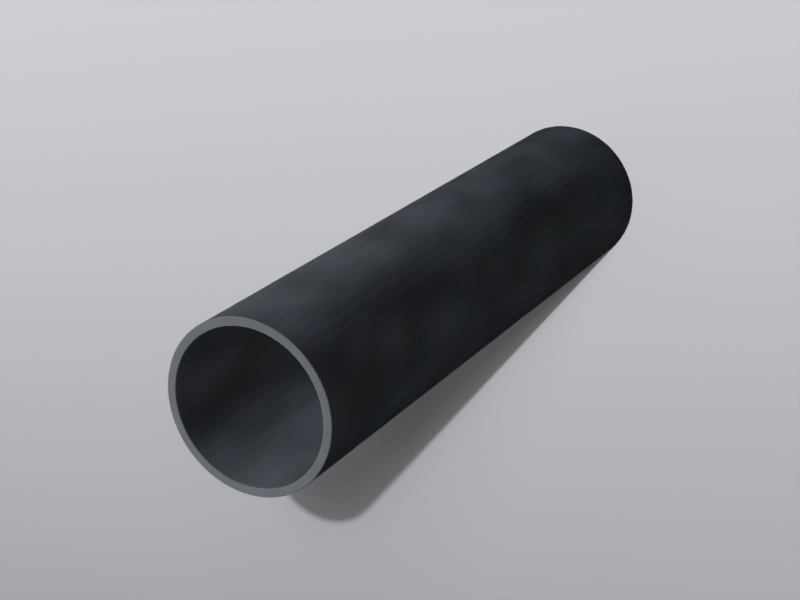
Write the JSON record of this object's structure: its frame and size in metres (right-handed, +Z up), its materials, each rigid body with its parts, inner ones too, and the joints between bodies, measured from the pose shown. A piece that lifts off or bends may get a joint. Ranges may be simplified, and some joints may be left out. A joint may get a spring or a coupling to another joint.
{
  "type": "round steel tube",
  "caption": "Round structural steel tube cut to length, with a plain bore, dark mill-scale skin and bright sawn ends.",
  "frame": {"origin": "centre of the lower sawn end, on the floor", "axes": "+Z up along the tube's axis; the upper end is the one nearest the camera in the picture"},
  "size_m": [0.0483, 0.0482, 0.204],
  "materials": {
    "mill_scale_steel": "dark mill scale with bright sawn ends"
  },
  "bodies": {
    "root": {"tube": "mill_scale_steel"}
  },
  "joints": []
}
